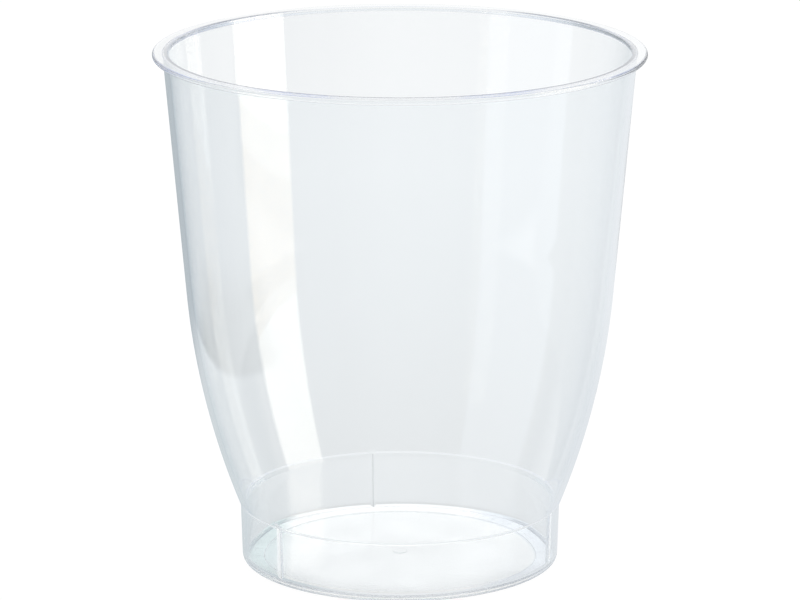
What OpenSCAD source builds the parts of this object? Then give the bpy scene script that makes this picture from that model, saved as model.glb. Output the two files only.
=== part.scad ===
// Clear plastic drinking tumbler, moulded in one piece.
// A thin tapering wall runs down into a rounded bowl, which steps in to a short
// upright foot. The foot is closed by a flat floor close to the table, and three
// upright beads stand on its inside face. Lengths in mm, +Z up, the centre of the
// foot's underside at the origin.

/* [Outside] */

// Full height from the table to the top of the lip
cup_h = 89.5; // [75:0.5:105]

// Outside diameter of the wall just below the lip
neck_d = 80.4; // [68:0.2:92]

// How far the lip stands out from the wall
lip_w = 1.8; // [1.2:0.1:3]

// Height of the lip, which is also the diameter of its rounded nose
lip_t = 0.9; // [0.6:0.1:1.1]

// Lean of the straight upper wall, in degrees
wall_lean = 4.98; // [2:0.02:6]

// Height at which the straight wall runs over into the bowl, as a share of the full height
belly_share = 0.5285; // [0.45:0.0005:0.6]

/* [Foot] */

// Height of the shoulder, where the bowl ends above the foot
shoulder_z = 10.6; // [8:0.2:13]

// Outside diameter of the foot at the table, as a share of the diameter below the lip
foot_share = 0.6803; // [0.6:0.0001:0.72]

// Lean of the foot's upright wall, in degrees
foot_lean = 1.67; // [0:0.01:3]

// How far the bowl stands out from the foot at the shoulder
shoulder_w = 0.3; // [0.1:0.05:0.8]

// Height of the slope under the shoulder
shoulder_step_h = 0.3; // [0.1:0.05:0.6]

// Radius of the rounded outer edge the cup stands on
foot_edge_r = 0.8; // [0.4:0.1:1.2]

/* [Wall and floor] */

// Thickness of the wall from the lip to the shoulder
wall_t = 0.95; // [0.8:0.05:1.3]

// Thickness of the upright wall of the foot
foot_wall_t = 1; // [0.8:0.05:1.4]

// Height of the floor's upper face above the table
floor_z = 1; // [0.8:0.05:1.8]

// Radius of the inner corner between the floor and the foot's wall
floor_corner_r = 0.8; // [0.4:0.1:1.5]

// Radius of the inner edge of the lip
lip_inner_r = 0.2; // [0.1:0.05:0.3]

/* [Underside] */

// Width of the standing ring around the shallow recess
ring_w = 3.9; // [2.5:0.1:6]

// Depth of the recess
recess_h = 0.25; // [0.15:0.05:0.35]

// Diameter of the moulding gate's mark in the middle of the recess
gate_d = 2.4; // [1.5:0.1:4]

// Height of the gate's mark, as a share of the recess's depth
gate_share = 0.5; // [0.2:0.1:0.8]

/* [Beads inside the foot] */

// Number of upright beads, spaced evenly
bead_count = 3; // [3:1:4]

// Diameter of a bead at the floor
bead_low_d = 1.1; // [0.8:0.1:1.3]

// Diameter of a bead at the shoulder
bead_high_d = 0.8; // [0.6:0.1:1]

// Angle of the first bead, counted from +Y towards -X
bead_angle = 10.8; // [0:0.1:40]

/* [Hidden] */

$fn = 96;

// Lets a cutter or a join reach past the face it works on
over = 1;
// How deep a bead's foot stands in the floor
bead_root = 0.3;

neck_r = neck_d / 2;
lip_r = neck_r + lip_w;
lip_low_z = cup_h - lip_t;
foot_r = neck_r * foot_share;
recess_r = foot_r - ring_w;
gate_h = recess_h * gate_share;

// How much the radius grows for each millimetre of height, on the wall and on the foot
draft = tan(wall_lean);
draft_len = 1 / cos(wall_lean);
foot_draft = tan(foot_lean);

belly_z = round(cup_h * belly_share * 10) / 10;
belly_r = neck_r - draft * (lip_low_z - belly_z);
foot_top_z = shoulder_z - shoulder_step_h;
foot_top_r = foot_r + foot_draft * foot_top_z;
shoulder_r = foot_top_r + shoulder_w;

// The bowl is an arc that leaves the straight wall without a corner and ends at the
// shoulder. Its centre lies on the wall's normal through the point of contact.
drop_r = shoulder_r - belly_r;
drop_z = shoulder_z - belly_z;
bowl_R = -(drop_r * drop_r + drop_z * drop_z) * draft_len / (2 * (drop_r - draft * drop_z));
bowl_r0 = belly_r - bowl_R / draft_len;
bowl_z0 = belly_z + bowl_R * draft / draft_len;

// The same arc and straight line, moved inwards by the wall's thickness
inner_belly_r = belly_r - wall_t / draft_len;
inner_belly_z = belly_z + wall_t * draft / draft_len;
inner_top_r = inner_belly_r + draft * (cup_h - inner_belly_z);

foot_inner_low_r = foot_r + foot_draft * floor_z - foot_wall_t;
foot_inner_mid_r = foot_r + foot_draft * shoulder_z - foot_wall_t;

// The beads run from the floor to the height of the shoulder
bead_z = floor_z - bead_root;
bead_h = shoulder_z - bead_z;

// The part of a half section between two heights
module band(low, high) {
  polygon([
    [0, low],
    [lip_r, low],
    [lip_r, high],
    [0, high]
  ]);
}

// Half section of the solid that the outside encloses
module outside_half() {
  // straight wall
  polygon([
    [0, belly_z],
    [belly_r, belly_z],
    [neck_r + draft * lip_t / 2, cup_h - lip_t / 2],
    [0, cup_h - lip_t / 2]
  ]);
  // lip with a round nose
  translate([0, lip_low_z])
    square([lip_r - lip_t / 2, lip_t]);
  translate([lip_r - lip_t / 2, cup_h - lip_t / 2])
    circle(d = lip_t);
  // bowl
  intersection() {
    translate([bowl_r0, bowl_z0])
      circle(r = bowl_R);
    band(shoulder_z, belly_z);
  }
  // foot with a rounded standing edge
  polygon([
    [0, 0],
    [foot_r - foot_edge_r, 0],
    [foot_r, foot_edge_r],
    [foot_top_r, foot_top_z],
    [shoulder_r, shoulder_z],
    [0, shoulder_z]
  ]);
  translate([foot_r - foot_edge_r, foot_edge_r])
    circle(r = foot_edge_r);
}

// Half section of the space inside
module inside_half() {
  // straight wall, open at the top
  polygon([
    [0, inner_belly_z],
    [inner_belly_r, inner_belly_z],
    [inner_top_r + draft * over, cup_h + over],
    [0, cup_h + over]
  ]);
  // bowl
  intersection() {
    translate([bowl_r0, bowl_z0])
      circle(r = bowl_R - wall_t);
    band(floor_z + floor_corner_r, inner_belly_z);
  }
  // foot, with a rounded corner above the floor
  polygon([
    [0, floor_z],
    [foot_inner_low_r - floor_corner_r, floor_z],
    [foot_inner_low_r, floor_z + floor_corner_r],
    [foot_inner_mid_r, shoulder_z],
    [0, shoulder_z]
  ]);
  translate([foot_inner_low_r - floor_corner_r, floor_z + floor_corner_r])
    circle(r = floor_corner_r);
}

// The corner that is taken off to round the lip's inner edge
module lip_inner_corner() {
  difference() {
    translate([inner_top_r - over, cup_h - lip_inner_r])
      square([over + lip_inner_r, lip_inner_r + over]);
    translate([inner_top_r + lip_inner_r, cup_h - lip_inner_r])
      circle(r = lip_inner_r);
  }
}

// Turned shell with its recess and gate mark
module shell() {
  rotate_extrude()
    difference() {
      outside_half();
      inside_half();
      lip_inner_corner();
      translate([0, -over])
        square([recess_r, recess_h + over]);
    }
  translate([0, 0, recess_h - gate_h])
    cylinder(d = gate_d, h = gate_h + (floor_z - recess_h) / 2);
}

// One upright bead on the foot's inner face, leaning with its draft
module bead() {
  translate([foot_inner_low_r, 0, bead_z])
    rotate([0, foot_lean, 0])
      cylinder(d1 = bead_low_d, d2 = bead_high_d, h = bead_h);
}

module tumbler() {
  color([0.86, 0.91, 0.93])
    union() {
      shell();
      for (i = [0 : bead_count - 1])
        rotate([0, 0, 90 + bead_angle + 360 / bead_count * i])
          bead();
    }
}

tumbler();
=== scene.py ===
import math

import bpy
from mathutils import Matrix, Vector


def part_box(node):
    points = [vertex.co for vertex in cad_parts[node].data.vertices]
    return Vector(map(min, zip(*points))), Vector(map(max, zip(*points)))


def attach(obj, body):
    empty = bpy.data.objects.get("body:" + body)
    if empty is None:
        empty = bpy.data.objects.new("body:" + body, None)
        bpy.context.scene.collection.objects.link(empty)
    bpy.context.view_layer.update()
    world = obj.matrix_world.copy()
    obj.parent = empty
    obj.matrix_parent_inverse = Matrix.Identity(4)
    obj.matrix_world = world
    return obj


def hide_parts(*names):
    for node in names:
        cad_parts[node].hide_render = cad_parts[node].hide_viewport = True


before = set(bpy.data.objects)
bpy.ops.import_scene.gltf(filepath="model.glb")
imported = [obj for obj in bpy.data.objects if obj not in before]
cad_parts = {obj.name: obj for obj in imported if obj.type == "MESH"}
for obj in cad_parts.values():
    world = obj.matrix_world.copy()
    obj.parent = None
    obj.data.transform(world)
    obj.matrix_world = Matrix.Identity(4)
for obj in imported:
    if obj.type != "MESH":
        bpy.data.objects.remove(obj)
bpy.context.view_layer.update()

bl_info = {
    "name": "Clear plastic tumbler",
    "version": (1, 0, 0),
    "blender": (4, 5, 0),
    "location": "3D View > Sidebar > Tumbler",
    "description": "Turns a moulded clear tumbler from its half section and sets it in a pale studio",
    "category": "Object",
}

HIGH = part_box("tumbler")[1]
MM = 0.001
MATH = "ShaderNodeMath"
MAP_RANGE = "ShaderNodeMapRange"
MIX_COLOUR = "ShaderNodeMix"
# Name of the shell's attribute that marks the beads' tips, the lip's inner edge and the foot's
# inner corner, where thin dark lines of painted shade show
PAINTED_DARK_LINE = "painted_dark_line"
# How strong that mark is at the beads' tips and in the corner, as a share of the lip's
BEAD_SHARE = 0.45
CORNER_SHARE = 0.6
# How many of the inner corner's points stay without that mark, above and below it
CORNER_BARE = (5, 2)
# Points of the shell closer together than this are one point
SEAM_GAP = 0.0002 * MM
# How often a ray has been mirrored in the wall where each stage of painted light, which stands
# for light led along the wall, starts and where that stage is full
LED_STAGES = ((1, 3), (9, 18), (30, 60), (150, 240))
# A ray's depths are whole numbers, so a depth over this is one or more
ONE_DEPTH = 0.5


def length(name, description, default):
    """A length in metres that shows in the scene's own units."""
    return bpy.props.FloatProperty(
        name=name, description=description, default=default, unit="LENGTH", precision=5
    )


def number(name, description, default):
    """A number without a unit, most often a share of 1."""
    return bpy.props.FloatProperty(name=name, description=description, default=default)


def span(name, description, start, end, unit="LENGTH"):
    """Two values: where something starts, and where it is full."""
    return bpy.props.FloatVectorProperty(
        name=name, description=description, default=(start, end), size=2, unit=unit, precision=5
    )


def srgb(name, description, default):
    """A colour, written as an sRGB hex value."""
    return bpy.props.StringProperty(
        name=name, description=description + ", as sRGB hex", default=default
    )


class TumblerSizes(bpy.types.PropertyGroup):
    """Sizes of the moulding, the same as those of the part"""

    height: length("Height", "From the table to the top of the lip", HIGH.z)
    lip_radius: length("Lip radius", "Outside radius of the lip", HIGH.x)
    lip_width: length("Lip width", "How far the lip stands out from the wall", 1.8 * MM)
    lip_height: length("Lip height", "Height of the lip and diameter of its nose", 0.9 * MM)
    wall_lean: bpy.props.FloatProperty(
        name="Wall lean", description="Lean of the straight upper wall",
        default=math.radians(4.98), subtype="ANGLE",
    )
    belly_height: length("Belly height", "Where the wall runs over into the bowl", 47.3 * MM)
    shoulder_height: length("Shoulder height", "Where the bowl ends above the foot", 10.6 * MM)
    shoulder_width: length("Shoulder width", "How far the bowl stands out there", 0.3 * MM)
    shoulder_step: length("Shoulder step", "Height of the slope under the shoulder", 0.3 * MM)
    foot_radius: length("Foot radius", "Outside radius of the foot at the table", 27.348 * MM)
    foot_lean: bpy.props.FloatProperty(
        name="Foot lean", description="Lean of the foot's upright wall",
        default=math.radians(1.67), subtype="ANGLE",
    )
    foot_edge: length("Foot edge", "Radius of the rounded edge it stands on", 0.8 * MM)
    wall: length("Wall", "Thickness of the wall down to the shoulder", 0.95 * MM)
    foot_wall: length("Foot wall", "Thickness of the foot's upright wall", 1 * MM)
    floor_height: length("Floor", "Height of the floor's upper face", 1 * MM)
    floor_corner: length("Floor corner", "Radius between the floor and the foot's wall", 0.8 * MM)
    lip_inner_edge: length("Inner edge", "Radius of the lip's inner edge", 0.2 * MM)
    ring_width: length("Ring width", "Width of the ring it stands on", 3.9 * MM)
    recess: length("Recess", "Depth of the recess inside the ring", 0.25 * MM)
    gate_radius: length("Gate radius", "Radius of the gate's mark", 1.2 * MM)
    gate_height: length("Gate height", "Height of the gate's mark", 0.125 * MM)
    edge_round: length("Edge rounding", "Radius left on the mould's sharp corners", 0.06 * MM)
    bead_count: bpy.props.IntProperty(
        name="Beads", description="Upright beads inside the foot", default=3, min=1
    )
    bead_angle: bpy.props.FloatProperty(
        name="Bead angle", description="First bead, counted from the back towards the left",
        default=math.radians(10.8), subtype="ANGLE",
    )
    bead_low: length("Bead radius below", "Radius of a bead at the floor", 0.55 * MM)
    bead_high: length("Bead radius above", "Radius of a bead at the shoulder", 0.4 * MM)
    # The lip line and the tip width size the painted shade of the thin dark lines.
    lip_line: length("Lip line", "Width of the dark line along the lip's inner edge", 0.65 * MM)
    tip_width: length("Tip width", "Half width of the line along a bead's tip", 0.24 * MM)
    bead_root: length("Bead root", "How deep a bead stands in the floor", 0.3 * MM)
    sides: bpy.props.IntProperty(
        name="Sides", description="Steps around the turned shape", default=384, min=48
    )
    gathering: bpy.props.FloatProperty(
        name="Gathering", description="How far the steps gather at the beads",
        default=0.78, min=0, max=0.95,
    )


class TumblerLooks(bpy.types.PropertyGroup):
    """Finish of the plastic"""

    tint: srgb("Tint", "Colour left after one wall", "FAFCFD")
    # Painted shade: the base colour is darkened to this along the thin dark lines.
    painted_line_shade: srgb("Line tint", "Colour left where light is led away", "6C727C")
    ior: number("IOR", "Refraction of general purpose polystyrene", 1.59)
    flow_width: length("Flow width", "Distance between waves of the flow", 15 * MM)
    flow_height: length("Flow height", "Height of the waves of the flow", 0.003 * MM)
    satin: number("Satin", "Roughness of the floor's two faces", 0.14)
    satin_top: length("Satin top", "Faces up to this height are satin", 1.05 * MM)
    satin_end: length("Satin end", "Faces from this height on are glossy", 1.15 * MM)
    patch_width: length("Patch width", "Distance between patches of haze", 9 * MM)
    haze_noise: span("Haze noise", "Its values at a patch's edge and middle", 0.45, 0.75, "NONE")
    haze: number("Haze", "Roughness in the middle of a patch of haze", 0.02)


class StudioSettings(bpy.types.PropertyGroup):
    """Floor, surroundings, lamps and camera"""

    # The table's colours in reflections are painted reflections: the table shows them only to rays that
    # the cup has mirrored.
    table_mirrored: srgb("Table in reflections", "The table as the cup mirrors it", "E6E9EC")
    near_mirrored: srgb("Table close by in reflections", "The table left of the foot", "CED6DA")
    near_right: srgb("Table at the right in reflections", "The table right of the foot", "E2E6EA")
    front_mirrored: srgb("Table in front in reflections", "The table before the foot", "EEF0F2")
    ahead: span("Ahead", "Where the table in front starts and is all of it", -0.02, -0.027)
    beside_foot: span("Beside the foot", "From the table on the left to that on the right", -0.02, 0.02)
    brighter: span("Brighter", "Radius where the table starts to brighten, and is bright", 0.06, 0.22)
    left_mirrored: srgb("Left of the table in reflections", "Past the table's left edge", "B0B9C0")
    painted_dark_reflection: srgb("Dark card in reflections", "The dark card on the left", "6E7676")
    room_mirrored: srgb("Room in reflections", "The room at the height of the cup", "8E9AA3")
    room_above: srgb("Room above in reflections", "The room higher up", "5A6468")
    behind_mirrored: srgb("Table behind in reflections", "The lit table at the back", "EBEEF1")
    behind: span("Behind", "Where the lit table at the back starts and is all of it", 0.05, 0.15)
    beside: length("Beside", "Left of this the mirrored table at the back is in shade", -0.042)
    # Painted light: fixed colours for rays mirrored again and again in the wall, which stand for the
    # light led along it.
    guided: srgb("Light in the wall", "What light led along the wall brings", "E0E6EE")
    guided_front: srgb("Light from the front", "What it brings from the front", "FFFFFF")
    guided_left: srgb("Light from the left", "What it brings from behind on the left", "D1D7D9")
    guided_right: srgb("Light from the right", "What it brings from behind on the right", "ECF1F7")
    front_reach: span("Front's reach", "Where that light from the front ends aside", 0.125, 0.5)
    back_reach: length("Back's reach", "Half the width over which left changes to right", 0.1)
    guided_low: srgb("Light from close by", "What it brings from the table by the foot", "EBEFF2")
    guided_reach: span("Close by", "Radius where that table starts to end, and ends", 0.045, 0.06)
    guided_side: srgb("Light from the room", "What it brings from the room's sides", "8C97A4")
    guided_on: srgb("Light led on", "What light brings that was led further", "F3F5F8")
    guided_aside: srgb("Light led deep", "What light led deep brings from the table's sides", "A2B4EA")
    guided_sides: span("Table's sides", "Where they start for that light, and are full", 0.016, 0.03)
    guided_far: srgb("Light led far", "What light brings that was led furthest", "A6B0C6")
    # The dark card is a painted dark reflection: the table shows this dark patch only to mirrored rays,
    # and no card stands in the scene.
    painted_dark_right: length("Card's right edge", "Edge of the dark card near the cup", -0.103)
    painted_dark_left: length("Card's left edge", "Far edge of the dark card", -0.17)
    painted_dark_front: length("Card's front edge", "Edge of the dark card on the camera's side", -0.05)
    painted_dark_back: length("Card's back edge", "Edge of the dark card at the back", 0.09)
    sharp_blur: length("Sharp blur", "Half the width of the card's edge near the cup", 0.004)
    painted_dark_blur: length("Card's blur", "Half the width of its far edge and its front edge", 0.02)
    back_blur: length("Back blur", "Half the width of its edge at the back", 0.03)
    table_fade: number("Table's fade", "Share of its reach where the mirrored table fades", 0.8)
    table_reach: length("Table's reach", "How far the mirrored table goes from the cup", 0.6)
    floor_size: length("Floor size", "Side of the square floor", 12)
    floor_glow: number("Floor glow", "Share of the floor's white that no shadow takes", 0.95)
    floor_lift: number("Floor lift", "What the lamps add to the floor beyond its white", 0.03)
    # Painted light and shade on the table, seen through the cup: a painted shadow by and behind the
    # foot, a painted glow under it with shaded, tinted parts, and painted pools of light.
    shade_behind: number("Shade behind", "Glow of the table by the foot, seen through the cup", 0.85)
    shade_reach: span("Shade's reach", "Radius where that shade starts to end, and ends", 0.028, 0.3)
    contact_shade: number("Contact shade", "Share of that glow left close to the foot", 0.85)
    contact_back: length("Contact back", "How far back that shade is full", 0.02)
    contact_reach: length("Contact reach", "Where the shade close to the foot ends", 0.034)
    glow_front: number("Glow in front", "Glow of the table under the foot's front", 1.17)
    glow_back: number("Glow at the back", "Glow of the table under the foot's back", 1.32)
    front_shade: number("Front shade", "Share of the glow left under the front edge", 0.77)
    front_radius: span("Front radius", "Where that shade starts and is deepest", 0.0165, 0.0242)
    front_depth: span("Front depth", "How far before the axis it starts and is full", -0.004, -0.014)
    left_shade: number("Left shade", "Share of the glow left behind the cup's left side", 0.94)
    left_end: span("Left end", "Where that shade starts to end, and ends", -0.045, -0.003)
    rim_glow_tint: srgb("Left rim tint", "Colour of the glow under the foot's left rim", "D9E6E5")
    rim_end: span("Left rim's end", "Where that colour starts to end, and ends", -0.0228, -0.0185)
    right_glow_tint: srgb("Right rim tint", "Colour of the glow under the foot's right rim", "EDF0F5")
    right_start: span("Right rim's start", "Where that colour starts and is full", 0.011, 0.017)
    ring_shade: number("Ring shade", "Share of the glow left under the standing ring", 0.9)
    middle_shade: number("Middle shade", "Share of the glow left under the gate's mark", 0.93)
    middle_end: span("Middle's end", "Where that shade starts to end, and ends", 0.004, 0.012)
    pool_width: length("Pool width", "Distance between pools of gathered light", 0.009)
    pool_noise: span("Pool noise", "Its values between pools and in a pool", 0.35, 0.65, "NONE")
    pool_strength: number("Pool strength", "How much brighter than the rest such a pool is", 0.05)
    under_glow_tint: srgb("Tint under the cup", "Colour of the glow there", "FFFDFB")
    foot_reach: length("Foot's reach", "Where the glow under the cup ends", 0.0283)
    foot_blur: length("Foot's blur", "Half the width of that edge", 0.0004)
    room_up: span("Room up", "Upward share of a direction from the cup to above", 0.0, 0.45, "NONE")
    white_back: span("White back", "Backward share of a direction to the white", 0.3, 0.7, "NONE")
    room_sides: span("Room's sides", "Sideways share of a direction to them", 0.3, 0.7, "NONE")
    ceiling_mirrored: srgb("Ceiling in reflections", "The bright ceiling", "F4F6FA")
    ceiling: span("Ceiling", "Upward share of a direction to it", 0.6, 0.8, "NONE")
    light_bounces: bpy.props.IntProperty(
        name="Light bounces", description="Light runs far along a clear wall before it leaves",
        default=256,
    )
    lens: bpy.props.FloatProperty(
        name="Lens", description="Focal length", default=210.02, subtype="DISTANCE_CAMERA"
    )
    camera_distance: length("Camera distance", "From the cup's axis, along the floor", 0.7768)
    camera_height: length("Camera height", "Above the floor", 0.24465)
    camera_pitch: bpy.props.FloatProperty(
        name="Camera pitch", description="How far the camera looks down",
        default=0.25076, subtype="ANGLE",
    )


def linear(hex_colour):
    """Linear RGBA from an sRGB hex colour."""
    values = [int(hex_colour[i:i + 2], 16) / 255 for i in (0, 2, 4)]
    curve = [v / 12.92 if v <= 0.04045 else ((v + 0.055) / 1.055) ** 2.4 for v in values]
    return (*curve, 1.0)


def add_node(tree, kind, sockets=None, **settings):
    """Adds a node with its settings. An input takes a value, a socket, or a node's first output."""
    node = tree.nodes.new(kind)
    for name, value in settings.items():
        setattr(node, name, value)
    for name, value in (sockets or {}).items():
        if isinstance(value, bpy.types.Node):
            value = next(socket for socket in value.outputs if socket.enabled)
        if isinstance(value, bpy.types.NodeSocket):
            tree.links.new(value, node.inputs[name])
        else:
            node.inputs[name].default_value = value
    return node


def new_material(name):
    """An empty material, its tree, and its output node."""
    material = bpy.data.materials.new(name)
    material.use_nodes = True
    tree = material.node_tree
    tree.nodes.clear()
    return material, tree, add_node(tree, "ShaderNodeOutputMaterial")


def arc(centre, radius, start, end, steps):
    """Points of a half section on an arc, its angles in radians from +r towards +z."""
    angles = [start + (end - start) / steps * i for i in range(steps + 1)]
    return [(centre[0] + radius * math.cos(a), centre[1] + radius * math.sin(a)) for a in angles]


def rounded(corner, before, after, radius, steps=4):
    """A corner of the half section with a small radius, and a point beside each end of it."""
    corner, before, after = Vector(corner), Vector(before), Vector(after)
    back, ahead = (before - corner).normalized(), (after - corner).normalized()
    half = math.acos(max(-1, min(1, back.dot(ahead)))) / 2
    reach = radius / math.tan(half)
    centre = corner + (back + ahead).normalized() * radius / math.sin(half)
    first = corner + back * reach - centre
    sweep = math.pi - 2 * half
    side = 1 if back.x * ahead.y - back.y * ahead.x < 0 else -1
    points = [tuple(corner + back * (reach + radius))]
    for i in range(steps + 1):
        angle = side * sweep * i / steps
        spoke = (
            first.x * math.cos(angle) - first.y * math.sin(angle),
            first.x * math.sin(angle) + first.y * math.cos(angle),
        )
        points.append((centre.x + spoke[0], centre.y + spoke[1]))
    points.append(tuple(corner + ahead * (reach + radius)))
    return points


def half_section(s):
    """The closed half section, from the axis below, over the outside, to the axis above the floor."""
    draft = math.tan(s.wall_lean)
    slant = 1 / math.cos(s.wall_lean)
    foot_draft = math.tan(s.foot_lean)
    nose = s.lip_height / 2
    neck_r = s.lip_radius - s.lip_width
    lip_low = s.height - s.lip_height
    recess_r = s.foot_radius - s.ring_width
    belly_r = neck_r - draft * (lip_low - s.belly_height)
    foot_top = s.shoulder_height - s.shoulder_step
    foot_top_r = s.foot_radius + foot_draft * foot_top
    shoulder_r = foot_top_r + s.shoulder_width

    # The bowl leaves the straight wall without a corner, so its centre lies on the wall's normal.
    drop_r = shoulder_r - belly_r
    drop_z = s.shoulder_height - s.belly_height
    bowl = -(drop_r ** 2 + drop_z ** 2) * slant / (2 * (drop_r - draft * drop_z))
    centre = (belly_r - bowl / slant, s.belly_height + bowl * draft / slant)
    inner = bowl - s.wall
    inner_belly_r = centre[0] + inner / slant
    inner_belly = centre[1] - inner * draft / slant
    inner_top_r = inner_belly_r + draft * (s.height - inner_belly)

    # The inner face of the foot, which runs up to the bowl's inner arc
    low_r = s.foot_radius + foot_draft * s.floor_height - s.foot_wall
    mid_r = s.foot_radius + foot_draft * s.shoulder_height - s.foot_wall
    corner_top = s.floor_height + s.floor_corner
    shoulder_in = centre[1] - math.sqrt(inner ** 2 - (mid_r - centre[0]) ** 2)
    face_draft = (mid_r - low_r) / (s.shoulder_height - corner_top)
    shoulder_in_r = low_r + face_draft * (shoulder_in - corner_top)

    def at_z(radius, z):
        return -math.asin((centre[1] - z) / radius)

    small = s.edge_round
    sharper = 0.4 * small
    # Points close beside an arc keep the shading of the flat face next to it flat.
    beside_arc = 0.2 * MM
    beside_nose = 0.15 * MM
    beside_line = 0.1 * MM
    # The inner face's next point stands this little above the beads, so their tops are steps.
    above_beads = 0.02 * MM
    lip_edge_steps = 16
    face_rows = 6
    gate_z = s.recess - s.gate_height
    gate_r = s.gate_radius
    bowl_arc = arc(centre, bowl, at_z(bowl, s.shoulder_height), -s.wall_lean, steps=36)
    above_z = s.shoulder_height + above_beads
    inner_arc = arc(centre, inner, -s.wall_lean, at_z(inner, above_z), steps=35)
    low_from, low_to = at_z(inner, s.shoulder_height), at_z(inner, shoulder_in)
    low_arc = arc(centre, inner, low_from, low_to, steps=3)

    # The underside
    section = [(0, gate_z)]
    section += rounded((gate_r, gate_z), (0, gate_z), (gate_r, s.recess), sharper)
    section += rounded((gate_r, s.recess), (gate_r, gate_z), (recess_r, s.recess), sharper)
    section += rounded((recess_r, s.recess), (gate_r, s.recess), (recess_r, 0), small)
    section += rounded((recess_r, 0), (recess_r, s.recess), (s.foot_radius, 0), small)

    # The outside of the foot and the bowl
    edge_r = s.foot_radius - s.foot_edge
    section += [(edge_r - beside_arc, 0)]
    section += arc((edge_r, s.foot_edge), s.foot_edge, -math.pi / 2, -s.foot_lean, steps=12)
    past_edge = s.foot_edge + beside_arc
    section += [(s.foot_radius + foot_draft * past_edge, past_edge)]
    foot_low = (s.foot_radius + foot_draft * s.foot_edge, s.foot_edge)
    shoulder = (shoulder_r, s.shoulder_height)
    section += rounded((foot_top_r, foot_top), foot_low, shoulder, small)
    section += rounded(shoulder, (foot_top_r, foot_top), bowl_arc[1], small, steps=6)
    section += bowl_arc[1:]

    # The lip, with the points of the painted dark line up to halfway down its rounded inner edge
    nose_c = (s.lip_radius - nose, s.height - nose)
    section += rounded((neck_r, lip_low), bowl_arc[-1], (nose_c[0], lip_low), 2 * small)
    section += [(nose_c[0] - beside_nose, lip_low)]
    section += arc(nose_c, nose, -math.pi / 2, math.pi / 2, steps=32)
    section += [(nose_c[0] - beside_nose, s.height)]
    section += [(inner_top_r + s.lip_line + beside_line, s.height)]
    edge_from = len(section)
    section += [(inner_top_r + s.lip_line, s.height)]
    section += rounded(
        (inner_top_r, s.height), (nose_c[0], s.height), (inner_belly_r, inner_belly),
        s.lip_inner_edge, steps=lip_edge_steps,
    )
    edge_to = len(section) - 1 - lip_edge_steps // 2

    # The inside, where the beads stand from low_arc to the end of the inner corner
    section += inner_arc
    bead_from = len(section)
    section += low_arc[:-1]
    face_top = (shoulder_in_r, shoulder_in)
    face_low = (low_r, corner_top)
    section += rounded(face_top, low_arc[-2], face_low, small, steps=6)[1:]
    section += [
        (face_top[0] + (face_low[0] - face_top[0]) * i / face_rows,
         face_top[1] + (face_low[1] - face_top[1]) * i / face_rows)
        for i in range(1, face_rows)
    ]
    section += [(low_r + face_draft * beside_line, corner_top + beside_line)]
    corner_c = (low_r - s.floor_corner, corner_top)
    corner_from = len(section) + CORNER_BARE[0]
    section += arc(corner_c, s.floor_corner, 0, -math.pi / 2, steps=12)
    bead_to = len(section)
    corner_to = bead_to - CORNER_BARE[1]
    section += [(corner_c[0] - beside_arc, s.floor_height), (0, s.floor_height)]
    zones = {
        name: [start <= i < end for i in range(len(section))]
        for name, start, end in (
            ("bead_zone", bead_from, bead_to),
            ("lip_edge", edge_from, edge_to),
            ("floor_corner", corner_from, corner_to),
        )
    }
    return section, zones, low_r, foot_draft


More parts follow.
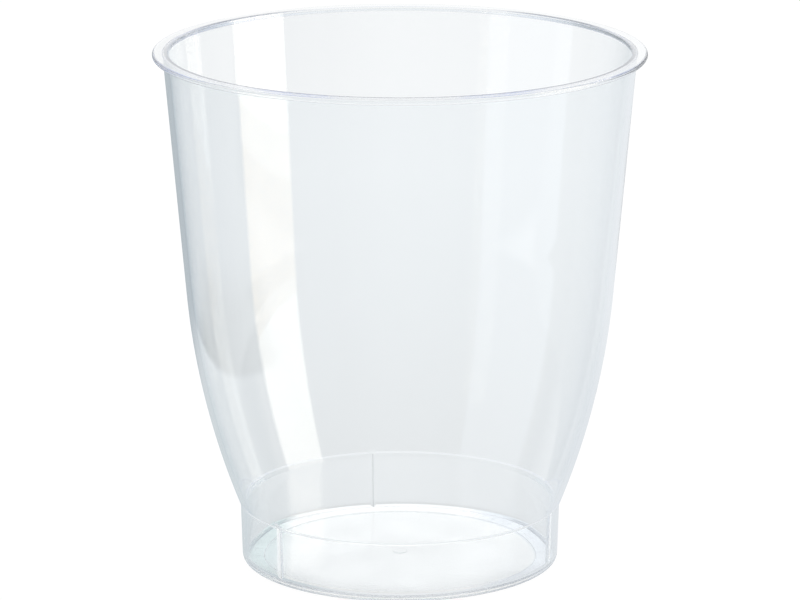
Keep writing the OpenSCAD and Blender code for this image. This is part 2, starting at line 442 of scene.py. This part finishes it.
def turning_tree():
    """Turns a half section into a closed shell and raises the beads on the foot's inner face."""
    tree = bpy.data.node_groups.new("turned_shell_with_beads", "GeometryNodeTree")
    face = tree.interface
    face.new_socket("Geometry", in_out="INPUT", socket_type="NodeSocketGeometry")
    for kind, names in (
        ("NodeSocketInt", ("Sides", "Bead count")),
        ("NodeSocketFloat", (
            "First bead", "Gathering", "Bead axis radius", "Bead foot", "Bead top",
            "Bead radius below", "Bead radius above", "Draft", "Tip width",
        )),
        ("NodeSocketMaterial", ("Material",)),
    ):
        for name in names:
            face.new_socket(name, in_out="INPUT", socket_type=kind)
    face.new_socket("Geometry", in_out="OUTPUT", socket_type="NodeSocketGeometry")
    given = add_node(tree, "NodeGroupInput").outputs
    section = given["Geometry"]

    # A grid with one column for each step around and one row for each point of the section
    size = add_node(tree, "GeometryNodeAttributeDomainSize", {"Geometry": section}, component="MESH")
    rows = size.outputs["Point Count"]
    columns = add_node(tree, MATH, {0: given["Sides"], 1: 1}, operation="ADD")
    grid = add_node(
        tree, "GeometryNodeMeshGrid",
        {"Size X": 1, "Size Y": 1, "Vertices X": columns, "Vertices Y": rows},
    )
    index = add_node(tree, "GeometryNodeInputIndex")
    row = add_node(tree, "FunctionNodeIntegerMath", {0: index, 1: rows}, operation="MODULO")
    column = add_node(tree, "FunctionNodeIntegerMath", {0: index, 1: rows}, operation="DIVIDE_FLOOR")
    place = add_node(tree, "GeometryNodeInputPosition")
    point = add_node(
        tree, "GeometryNodeSampleIndex", {"Geometry": section, "Value": place, "Index": row},
        data_type="FLOAT_VECTOR", domain="POINT",
    )
    marks = {}
    for name in ("bead_zone", "lip_edge", "floor_corner"):
        mark = add_node(tree, "GeometryNodeInputNamedAttribute", {"Name": name}, data_type="FLOAT")
        marks[name] = add_node(
            tree, "GeometryNodeSampleIndex", {"Geometry": section, "Value": mark, "Index": row},
            data_type="FLOAT", domain="POINT",
        )
    parts = add_node(tree, "ShaderNodeSeparateXYZ", {0: point}).outputs
    made = {socket.name: socket for socket in given}
    made |= {"column": column, "radius": parts["X"], "height": parts["Z"], "zone": marks["bead_zone"]}

    # Each row names a value, how it is worked out, and from what. First comes the angle of a
    # column, with the columns gathered where the beads stand. A bead is a leaning round rod half
    # sunk in the foot's inner face, so the inner face moves in to the rod where the rod is nearer.
    for name, how, *terms in (
        ("step", "DIVIDE", math.tau, "Sides"),
        ("even angle", "MULTIPLY", "column", "step"),
        ("turns", "MULTIPLY", "even angle", "Bead count"),
        ("wave", "SINE", "turns"),
        ("reach", "DIVIDE", "Gathering", "Bead count"),
        ("pull", "MULTIPLY", "wave", "reach"),
        ("angle", "SUBTRACT", "even angle", "pull"),
        ("half pitch", "DIVIDE", math.pi, "Bead count"),
        ("minus half pitch", "MULTIPLY", "half pitch", -1),
        ("off bead", "WRAP", "angle", "half pitch", "minus half pitch"),
        ("above", "SUBTRACT", "height", "Bead foot"),
        ("full height", "SUBTRACT", "Bead top", "Bead foot"),
        ("height share", "DIVIDE", "above", "full height"),
        ("taper", "SUBTRACT", "Bead radius above", "Bead radius below"),
        ("rod", "MULTIPLY_ADD", "taper", "height share", "Bead radius below"),
        ("rod axis", "MULTIPLY_ADD", "Draft", "above", "Bead axis radius"),
        ("sideways", "SINE", "off bead"),
        ("aside", "MULTIPLY", "rod axis", "sideways"),
        ("rod square", "MULTIPLY", "rod", "rod"),
        ("aside square", "MULTIPLY", "aside", "aside"),
        ("left over", "SUBTRACT", "rod square", "aside square"),
        ("in rod", "MAXIMUM", "left over", 0),
        ("rod depth", "SQRT", "in rod"),
        ("rod face", "SUBTRACT", "rod axis", "rod depth"),
        ("inner face", "MINIMUM", "radius", "rod face"),
        ("change", "SUBTRACT", "inner face", "radius"),
        ("on bead", "GREATER_THAN", "left over", 0),
        ("moved", "MULTIPLY", "zone", "on bead"),
        ("new radius", "MULTIPLY_ADD", "moved", "change", "radius"),
        ("start", "ADD", "First bead", math.pi / 2),
        ("turned", "ADD", "angle", "start"),
        ("cosine", "COSINE", "turned"),
        ("sine", "SINE", "turned"),
        ("x", "MULTIPLY", "new radius", "cosine"),
        ("y", "MULTIPLY", "new radius", "sine"),
        ("off tip", "ABSOLUTE", "aside"),
        ("to a side", "ABSOLUTE", "cosine"),
    ):
        sockets = {i: made.get(term, term) for i, term in enumerate(terms)}
        made[name] = add_node(tree, MATH, sockets, operation=how)
    position = add_node(
        tree, "ShaderNodeCombineXYZ", {"X": made["x"], "Y": made["y"], "Z": made["height"]}
    )

    # The painted dark lines along the beads' tips, the lip's inner edge and the foot's inner corner,
    # kept for the material as painted shade. A sine is 1 at the back and -1 in front.
    ends = {}
    for name, value, start, full in (
        ("tip", "off tip", given["Tip width"], 0.0),
        ("not at back", "sine", 0.6, -0.5),
        ("before back", "sine", 0.95, 0.8),
        ("past side", "sine", 0.3, 0.6),
        ("at sides", "to a side", 0.7, 0.82),
        ("past middle", "sine", -0.15, 0.05),
    ):
        ends[name] = add_node(
            tree, MAP_RANGE, {"Value": made[value], "From Min": start, "From Max": full},
            interpolation_type="SMOOTHSTEP",
        )
    back_sides = add_node(
        tree, MATH, {0: ends["before back"], 1: ends["past side"]}, operation="MULTIPLY"
    )
    on_edge = add_node(tree, MATH, {0: ends["not at back"], 1: back_sides}, operation="MAXIMUM")
    at_corner = add_node(
        tree, MATH, {0: ends["at sides"], 1: ends["past middle"]}, operation="MULTIPLY"
    )
    painted_dark_line = 0.0
    for name, around, strength in (
        ("bead_zone", ends["tip"], BEAD_SHARE),
        ("lip_edge", on_edge, 1.0),
        ("floor_corner", at_corner, CORNER_SHARE),
    ):
        line = add_node(tree, MATH, {0: marks[name], 1: around}, operation="MULTIPLY")
        line = add_node(tree, MATH, {0: line, 1: strength}, operation="MULTIPLY")
        painted_dark_line = add_node(tree, MATH, {0: painted_dark_line, 1: line}, operation="MAXIMUM")

    marked = add_node(
        tree, "GeometryNodeStoreNamedAttribute",
        {"Geometry": grid, "Name": PAINTED_DARK_LINE, "Value": painted_dark_line},
        data_type="FLOAT", domain="POINT",
    )
    moved = add_node(tree, "GeometryNodeSetPosition", {"Geometry": marked, "Position": position})
    closed = add_node(tree, "GeometryNodeMergeByDistance", {"Geometry": moved, "Distance": SEAM_GAP})
    smooth = add_node(tree, "GeometryNodeSetShadeSmooth", {"Geometry": closed})
    real = add_node(tree, "GeometryNodeRealizeInstances", {"Geometry": smooth})
    dressed = add_node(
        tree, "GeometryNodeSetMaterial", {"Geometry": real, "Material": given["Material"]}
    )
    add_node(tree, "NodeGroupOutput", {"Geometry": dressed})
    return tree


def clear_polystyrene(looks):
    """Injection-moulded clear polystyrene: hard, glossy and water clear. It bends light strongly, so
    each edge draws a line; along the beads' tips, the lip's inner edge and the foot's inner corner
    those dark lines are painted shade in the base colour. The slow flow of the melt leaves waves in
    the glossy faces, and faint patches of haze soften the reflections where the mould's polish is
    worn."""
    material, tree, output = new_material("injection_moulded_clear_polystyrene")
    place = add_node(tree, "ShaderNodeTexCoord").outputs["Object"]
    flow = add_node(
        tree, "ShaderNodeTexNoise",
        {"Vector": place, "Scale": 1 / looks.flow_width, "Detail": 1.0, "Roughness": 0.4},
    )
    bump = add_node(
        tree, "ShaderNodeBump", {"Strength": 1.0, "Distance": looks.flow_height, "Height": flow}
    )
    patches = add_node(
        tree, "ShaderNodeTexNoise",
        {"Vector": place, "Scale": 1 / looks.patch_width, "Detail": 3.0, "Roughness": 0.6},
    )
    haze = add_node(
        tree, MAP_RANGE,
        {
            "Value": patches, "From Min": looks.haze_noise[0], "From Max": looks.haze_noise[1],
            "To Max": looks.haze,
        },
    )
    # The floor's two faces come off the mould a little satin.
    parts = add_node(tree, "ShaderNodeSeparateXYZ", {0: place}).outputs
    on_floor = add_node(
        tree, MAP_RANGE,
        {
            "Value": parts["Z"], "From Min": looks.satin_end, "From Max": looks.satin_top,
            "To Max": looks.satin,
        },
    )
    roughness = add_node(tree, MATH, {0: haze, 1: on_floor}, operation="MAXIMUM")
    # Painted shade: the base colour is darkened at the tips of the beads, the lip's inner edge and the
    # foot's inner corner, for the light that is led away along the plastic there.
    line = add_node(tree, "ShaderNodeAttribute", attribute_name=PAINTED_DARK_LINE).outputs["Fac"]
    colour = add_node(
        tree, MIX_COLOUR,
        {"Factor": line, "A": linear(looks.tint), "B": linear(looks.painted_line_shade)},
        data_type="RGBA",
    )
    shell = add_node(
        tree, "ShaderNodeBsdfPrincipled",
        {
            "Base Color": colour,
            "Roughness": roughness,
            "IOR": looks.ior,
            "Transmission Weight": 1.0,
            "Normal": bump,
        },
    )
    tree.links.new(shell.outputs["BSDF"], output.inputs["Surface"])
    return material


class OBJECT_OT_turn_tumbler(bpy.types.Operator):
    """Turn the tumbler's shell from its half section"""

    bl_idname = "object.turn_tumbler"
    bl_label = "Tumbler"

    def execute(self, context):
        sizes = context.scene.tumbler_sizes
        section, zones, bead_axis, draft = half_section(sizes)
        mesh = bpy.data.meshes.new("tumbler_half_section")
        edges = [(i, i + 1) for i in range(len(section) - 1)]
        mesh.from_pydata([(r, 0, z) for r, z in section], edges, [])
        for name, inside in zones.items():
            marks = mesh.attributes.new(name, "FLOAT", "POINT")
            marks.data.foreach_set("value", [float(value) for value in inside])
        cup = bpy.data.objects.new("tumbler_shell", mesh)
        context.scene.collection.objects.link(cup)

        tree = turning_tree()
        turning = cup.modifiers.new("Turning", "NODES")
        turning.node_group = tree
        values = {
            "Sides": sizes.sides,
            "Bead count": sizes.bead_count,
            "First bead": sizes.bead_angle,
            "Gathering": sizes.gathering,
            "Bead axis radius": bead_axis,
            "Bead foot": sizes.floor_height - sizes.bead_root,
            "Bead top": sizes.shoulder_height,
            "Bead radius below": sizes.bead_low,
            "Bead radius above": sizes.bead_high,
            "Draft": draft,
            "Tip width": sizes.tip_width,
            "Material": clear_polystyrene(context.scene.tumbler_looks),
        }
        for item in tree.interface.items_tree:
            if item.item_type == "SOCKET" and item.in_out == "INPUT" and item.name in values:
                turning[item.identifier] = values[item.name]
        context.view_layer.update()
        shell = bpy.data.meshes.new_from_object(cup.evaluated_get(context.evaluated_depsgraph_get()))
        cup.modifiers.remove(turning)
        cup.data = shell
        shell.name = "tumbler_shell"
        if not shell.polygons:
            raise RuntimeError("the half section gave no shell")
        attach(cup, "root")
        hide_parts("tumbler")
        return {"FINISHED"}


def reflected_ray(tree):
    """1 for a ray that has been mirrored on its way, otherwise 0."""
    path = add_node(tree, "ShaderNodeLightPath")
    return add_node(
        tree, MATH, {0: path.outputs["Glossy Depth"], 1: ONE_DEPTH}, operation="GREATER_THAN"
    )


def add_guided(tree, colour, led, led_deep, studio):
    """What mirrored rays see, mixed with painted light for rays mirrored again and again in the wall:
    fixed colours by how often a ray was mirrored.
    """
    path = add_node(tree, "ShaderNodeLightPath")
    lights = (led, linear(studio.guided_on), led_deep, linear(studio.guided_far))
    for (start, full), light in zip(LED_STAGES, lights):
        reached = add_node(
            tree, MAP_RANGE,
            {"Value": path.outputs["Glossy Depth"], "From Min": start, "From Max": full},
        )
        colour = add_node(
            tree, MIX_COLOUR, {"Factor": reached, "A": colour, "B": light}, data_type="RGBA"
        )
    return colour


class SCENE_OT_tumbler_studio(bpy.types.Operator):
    """Set the pale floor, the surroundings, the lamps and the camera"""

    bl_idname = "scene.tumbler_studio"
    bl_label = "Studio"

    def execute(self, context):
        studio = context.scene.tumbler_studio_settings
        self.add_floor(context, studio)
        self.add_world(context, studio)
        self.add_lamps(context)
        self.add_camera(context, studio)
        context.scene.view_settings.view_transform = "Standard"
        context.scene.cycles.max_bounces = studio.light_bounces
        context.scene.cycles.glossy_bounces = studio.light_bounces
        context.scene.cycles.transmission_bounces = studio.light_bounces
        return {"FINISHED"}

    def add_floor(self, context, studio):
        """An evenly white table, with painted light and shade through the cup and painted reflections.
        """
        sizes = context.scene.tumbler_sizes
        side = studio.floor_size / 2
        corners = [(-side, -side, 0), (side, -side, 0), (side, side, 0), (-side, side, 0)]
        mesh = bpy.data.meshes.new("studio_floor")
        mesh.from_pydata(corners, [], [(0, 1, 2, 3)])
        floor = bpy.data.objects.new("studio_floor", mesh)
        context.scene.collection.objects.link(floor)
        material, tree, output = new_material("white_table_with_painted_light")
        place = add_node(tree, "ShaderNodeTexCoord").outputs["Object"]
        parts = add_node(tree, "ShaderNodeSeparateXYZ", {0: place}).outputs
        away = add_node(tree, "ShaderNodeVectorMath", {0: place}, operation="LENGTH")
        spot = (parts["X"], parts["Y"], away.outputs["Value"])
        ring_radius = sizes.foot_radius - sizes.ring_width
        seen = self.seen_table(tree, place, spot, ring_radius, studio)
        mirrored = self.mirrored_table(tree, spot, studio)
        mix = add_node(tree, "ShaderNodeMixShader", {0: reflected_ray(tree), 1: seen, 2: mirrored})
        tree.links.new(mix.outputs[0], output.inputs["Surface"])
        mesh.materials.append(material)

    def seen_table(self, tree, place, spot, ring_radius, studio):
        """What a ray sees of the table that comes straight or through the cup: white straight on, and
        through the cup a painted glow under the foot, painted shadows around it and painted pools of
        light.
        """
        across, depth, away = spot
        foot, blur, gather = studio.foot_reach, studio.foot_blur, studio.pool_strength
        edges = {}
        for name, value, start, end in (
            ("near_edge", away, *studio.front_radius),
            ("in_front", depth, *studio.front_depth),
            ("past_rim", across, *studio.rim_end),
            ("to_right", across, *studio.right_start),
            ("past_middle", away, *studio.middle_end),
            ("outside", away, foot - blur, foot + blur),
        ):
            edges[name] = add_node(
                tree, MAP_RANGE, {"Value": value, "From Min": start, "From Max": end},
                interpolation_type="SMOOTHSTEP",
            )
        at_front = add_node(
            tree, MATH, {0: edges["near_edge"], 1: edges["in_front"]}, operation="MULTIPLY"
        )
        on_ring = add_node(
            tree, MAP_RANGE,
            {"Value": away, "From Min": ring_radius - blur, "From Max": ring_radius},
        )
        on_right = add_node(tree, MATH, {0: edges["to_right"], 1: on_ring}, operation="MULTIPLY")
        # Painted pools of light: the cup's curved wall gathers light on the table in soft patches.
        pools = add_node(
            tree, "ShaderNodeTexNoise",
            {"Vector": place, "Scale": 1 / studio.pool_width, "Detail": 2.0, "Roughness": 0.5},
        )
        # Shares of the painted glow and painted shade, from low at the start to high at the end
        shades = {}
        for name, value, start, end, low, high in (
            ("far", away, *studio.shade_reach, studio.shade_behind, studio.floor_glow),
            ("deepest", depth, 0.0, studio.contact_back, 1.0, studio.contact_shade),
            ("left", across, *studio.left_end, studio.left_shade, 1.0),
            ("under", depth, -foot, foot, studio.glow_front, studio.glow_back),
            ("front", at_front, 0.0, 1.0, 1.0, studio.front_shade),
            ("middle", edges["past_middle"], 0.0, 1.0, studio.middle_shade, 1.0),
            ("ring", on_ring, 0.0, 1.0, 1.0, studio.ring_shade),
            ("pools", pools, *studio.pool_noise, 1 - gather, 1 + gather),
        ):
            shades[name] = add_node(
                tree, MAP_RANGE,
                {"Value": value, "From Min": start, "From Max": end, "To Min": low, "To Max": high},
            )
        shades["contact"] = add_node(
            tree, MAP_RANGE,
            {
                "Value": away, "From Min": foot, "From Max": studio.contact_reach,
                "To Min": shades["deepest"], "To Max": 1.0,
            },
        )
        # The painted shadow close to the foot and behind the cup's left side
        beyond = shades["far"]
        for name in ("contact", "left"):
            beyond = add_node(tree, MATH, {0: beyond, 1: shades[name]}, operation="MULTIPLY")
        # The painted glow under the foot, with its painted pools and painted shades
        lit = shades["under"]
        for name in ("pools", "front", "middle", "ring"):
            lit = add_node(tree, MATH, {0: lit, 1: shades[name]}, operation="MULTIPLY")
        under = linear(studio.rim_glow_tint)
        for factor, colour in (
            (edges["past_rim"], studio.under_glow_tint),
            (on_right, studio.right_glow_tint),
        ):
            under = add_node(
                tree, MIX_COLOUR, {"Factor": factor, "A": under, "B": linear(colour)},
                data_type="RGBA",
            )
        under = add_node(tree, "ShaderNodeVectorMath", {0: under, "Scale": lit}, operation="SCALE")
        through = add_node(
            tree, MIX_COLOUR, {"Factor": edges["outside"], "A": under, "B": beyond},
            data_type="RGBA",
        )
        camera_ray = add_node(tree, "ShaderNodeLightPath").outputs["Is Camera Ray"]
        seen_colour = add_node(
            tree, MIX_COLOUR,
            {"Factor": camera_ray, "A": through, "B": [studio.floor_glow] * 3 + [1]},
            data_type="RGBA",
        )
        glow = add_node(tree, "ShaderNodeEmission", {"Color": seen_colour, "Strength": 1.0})
        lamp_share = 1 - studio.floor_glow + studio.floor_lift
        matt = add_node(tree, "ShaderNodeBsdfDiffuse", {"Color": [lamp_share] * 3 + [1]})
        return add_node(tree, "ShaderNodeAddShader", {0: glow, 1: matt})

    def mirrored_table(self, tree, spot, studio):
        """Painted reflections of the table, a dark patch and the room beyond, and painted light for
        what light brings that was led along the wall.
        """
        across, depth, away = spot
        aside = add_node(tree, MATH, {0: across}, operation="ABSOLUTE")
        sharp, soft, back_soft = studio.sharp_blur, studio.painted_dark_blur, studio.back_blur
        edges = {}
        for name, value, start, end in (
            ("behind", depth, *studio.behind),
            ("beside", across, studio.beside, studio.beside - sharp),
            ("right", across, *studio.beside_foot),
            ("ahead", depth, *studio.ahead),
            ("bright", away, *studio.brighter),
            ("left", across, studio.painted_dark_right + sharp, studio.painted_dark_right - sharp),
            ("over", across, studio.painted_dark_left - soft, studio.painted_dark_left + soft),
            ("front", depth, studio.painted_dark_front - soft, studio.painted_dark_front + soft),
            ("back", depth, studio.painted_dark_back + back_soft, studio.painted_dark_back - back_soft),
            ("past", away, studio.table_reach * studio.table_fade, studio.table_reach),
            ("at_side", aside, *studio.guided_sides),
            ("beside_front", aside, *studio.front_reach),
        ):
            edges[name] = add_node(
                tree, MAP_RANGE, {"Value": value, "From Min": start, "From Max": end},
                interpolation_type="SMOOTHSTEP",
            )
        # The painted dark patch on the left, which only reflections show
        on_left = add_node(tree, MATH, {0: edges["left"], 1: edges["front"]}, operation="MULTIPLY")
        in_painted_dark = add_node(tree, MATH, {0: edges["over"], 1: edges["back"]}, operation="MULTIPLY")
        on_painted_dark = add_node(tree, MATH, {0: in_painted_dark, 1: on_left}, operation="MULTIPLY")
        left_behind = add_node(
            tree, MATH, {0: edges["beside"], 1: edges["behind"]}, operation="MULTIPLY"
        )
        table = linear(studio.near_mirrored)
        for factor, colour in (
            (edges["right"], studio.near_right),
            (edges["ahead"], studio.front_mirrored),
            (edges["bright"], studio.table_mirrored),
            (edges["past"], studio.room_mirrored),
            (edges["behind"], studio.behind_mirrored),
            (left_behind, studio.left_mirrored),
            (on_left, studio.left_mirrored),
            (on_painted_dark, studio.painted_dark_reflection),
        ):
            table = add_node(
                tree, MIX_COLOUR, {"Factor": factor, "A": table, "B": linear(colour)},
                data_type="RGBA",
            )
        near, far = studio.guided_reach
        clear_of_foot = add_node(tree, MAP_RANGE, {"Value": away, "From Min": near, "From Max": far})
        to_right = add_node(
            tree, MAP_RANGE,
            {"Value": across, "From Min": -studio.back_reach, "From Max": studio.back_reach},
        )
        at_back = add_node(tree, MATH, {0: depth, 1: 0.0}, operation="GREATER_THAN")
        led = {}
        for name, factor, first, second in (
            ("front", edges["beside_front"], studio.guided_front, studio.guided),
            ("back", to_right, studio.guided_left, studio.guided_right),
            ("deep", edges["at_side"], studio.guided_on, studio.guided_aside),
        ):
            led[name] = add_node(
                tree, MIX_COLOUR,
                {"Factor": factor, "A": linear(first), "B": linear(second)}, data_type="RGBA",
            )
        led_away = add_node(
            tree, MIX_COLOUR, {"Factor": at_back, "A": led["front"], "B": led["back"]},
            data_type="RGBA",
        )
        led_here = add_node(
            tree, MIX_COLOUR,
            {"Factor": clear_of_foot, "A": linear(studio.guided_low), "B": led_away},
            data_type="RGBA",
        )
        table = add_guided(tree, table, led_here, led["deep"], studio)
        return add_node(tree, "ShaderNodeEmission", {"Color": table, "Strength": 1.0})

    def add_world(self, context, studio):
        """White to the eye, and in reflections a plain room, lit from behind and from above, with
        painted light for rays mirrored again and again in the wall.
        """
        world = bpy.data.worlds.new("studio_surroundings")
        context.scene.world = world
        world.use_nodes = True
        world.cycles.sampling_method = "NONE"
        tree = world.node_tree
        tree.nodes.clear()
        way = add_node(tree, "ShaderNodeTexCoord").outputs["Generated"]
        parts = add_node(tree, "ShaderNodeSeparateXYZ", {0: way}).outputs
        ahead, up = parts["Y"], parts["Z"]
        room = linear(studio.room_mirrored)
        for value, start, end, colour in (
            (up, *studio.room_up, studio.room_above),
            (up, *studio.ceiling, studio.ceiling_mirrored),
            (ahead, *studio.white_back, "FFFFFF"),
        ):
            reached = add_node(
                tree, MAP_RANGE, {"Value": value, "From Min": start, "From Max": end},
                interpolation_type="SMOOTHSTEP",
            )
            room = add_node(
                tree, MIX_COLOUR, {"Factor": reached, "A": room, "B": linear(colour)},
                data_type="RGBA",
            )
        aside = add_node(tree, MATH, {0: parts["X"]}, operation="ABSOLUTE")
        start, end = studio.room_sides
        at_side = add_node(
            tree, MAP_RANGE, {"Value": aside, "From Min": start, "From Max": end},
            interpolation_type="SMOOTHSTEP",
        )
        led = add_node(
            tree, MIX_COLOUR,
            {"Factor": at_side, "A": linear(studio.guided_on), "B": linear(studio.guided_side)},
            data_type="RGBA",
        )
        room = add_guided(tree, room, led, linear(studio.guided_on), studio)
        white = add_node(tree, "ShaderNodeBackground", {"Color": (1, 1, 1, 1), "Strength": 1.0})
        around = add_node(tree, "ShaderNodeBackground", {"Color": room, "Strength": 1.0})
        mix = add_node(tree, "ShaderNodeMixShader", {0: reflected_ray(tree), 1: white, 2: around})
        add_node(tree, "ShaderNodeOutputWorld", {"Surface": mix})

    def add_lamps(self, context):
        """Upright softboxes around the cup that face its axis."""
        panels = (
            ("right_softbox", 99.0, 0.36, 0.214, 0.0, 0.03, 1.75, "FFE2BA"),
            ("right_softbox_middle", 99.0, 0.36, 0.214, 0.03, 0.042, 2.15, "FFE9CC"),
            ("right_softbox_above", 99.0, 0.36, 0.214, 0.042, 0.3, 2.7, "FFF4E4"),
            ("right_back_strip", 50.0, 0.45, 0.03, 0.0, 0.3, 0.35, "FFFFFF"),
            ("left_softbox", -105.0, 0.36, 0.36, 0.0, 0.3, 0.5, "F2F6FF"),
        )
        for name, azimuth, distance, width, low, top, radiance, colour in panels:
            tall = top - low
            lamp = bpy.data.lights.new(name, "AREA")
            lamp.color = linear(colour)[:3]
            lamp.shape = "RECTANGLE"
            lamp.size = width
            lamp.size_y = tall
            lamp.energy = radiance * math.pi * width * tall
            self.hide_behind_cup(lamp)
            panel = bpy.data.objects.new(name, lamp)
            turn = math.radians(azimuth)
            panel.location = (distance * math.sin(turn), distance * math.cos(turn), (low + top) / 2)
            panel.rotation_euler = (math.pi / 2, 0, math.pi - turn)
            panel.visible_camera = False
            context.scene.collection.objects.link(panel)

    def hide_behind_cup(self, lamp):
        """Leave the lamp out of what is seen straight through the cup, as the camera leaves it out."""
        lamp.use_nodes = True
        tree = lamp.node_tree
        tree.nodes.clear()
        depths = add_node(tree, "ShaderNodeLightPath").outputs
        straight = add_node(
            tree, MATH, {0: depths["Glossy Depth"], 1: ONE_DEPTH}, operation="LESS_THAN"
        )
        through = add_node(
            tree, MATH, {0: depths["Transmission Depth"], 1: ONE_DEPTH}, operation="GREATER_THAN"
        )
        unseen = add_node(tree, MATH, {0: straight, 1: through}, operation="MULTIPLY")
        strength = add_node(tree, MATH, {0: 1.0, 1: unseen}, operation="SUBTRACT")
        emission = add_node(tree, "ShaderNodeEmission", {"Color": (1, 1, 1, 1), "Strength": strength})
        add_node(tree, "ShaderNodeOutputLight", {"Surface": emission})

    def add_camera(self, context, studio):
        """The camera in front of the cup, which looks down on it a little."""
        data = bpy.data.cameras.new("camera")
        data.lens = studio.lens
        data.sensor_width = 36
        data.clip_start = 0.01
        camera = bpy.data.objects.new("camera", data)
        camera.location = (0, -studio.camera_distance, studio.camera_height)
        camera.rotation_euler = (math.pi / 2 - studio.camera_pitch, 0, 0)
        context.scene.collection.objects.link(camera)
        context.scene.camera = camera


class VIEW3D_PT_tumbler(bpy.types.Panel):
    """The pieces of the tumbler scene"""

    bl_label = "Tumbler"
    bl_space_type = "VIEW_3D"
    bl_region_type = "UI"
    bl_category = "Tumbler"

    def draw(self, context):
        for operator in OPERATORS:
            self.layout.operator(operator.bl_idname)


GROUPS = {
    "tumbler_sizes": TumblerSizes,
    "tumbler_looks": TumblerLooks,
    "tumbler_studio_settings": StudioSettings,
}
OPERATORS = (OBJECT_OT_turn_tumbler, SCENE_OT_tumbler_studio)


def register():
    for name, group in GROUPS.items():
        bpy.utils.register_class(group)
        setattr(bpy.types.Scene, name, bpy.props.PointerProperty(type=group))
    for part in (*OPERATORS, VIEW3D_PT_tumbler):
        bpy.utils.register_class(part)


def unregister():
    for part in (VIEW3D_PT_tumbler, *reversed(OPERATORS)):
        bpy.utils.unregister_class(part)
    for name, group in reversed(GROUPS.items()):
        delattr(bpy.types.Scene, name)
        bpy.utils.unregister_class(group)


def main():
    register()
    bpy.ops.object.turn_tumbler()
    bpy.ops.scene.tumbler_studio()


if __name__ == "__main__":
    main()
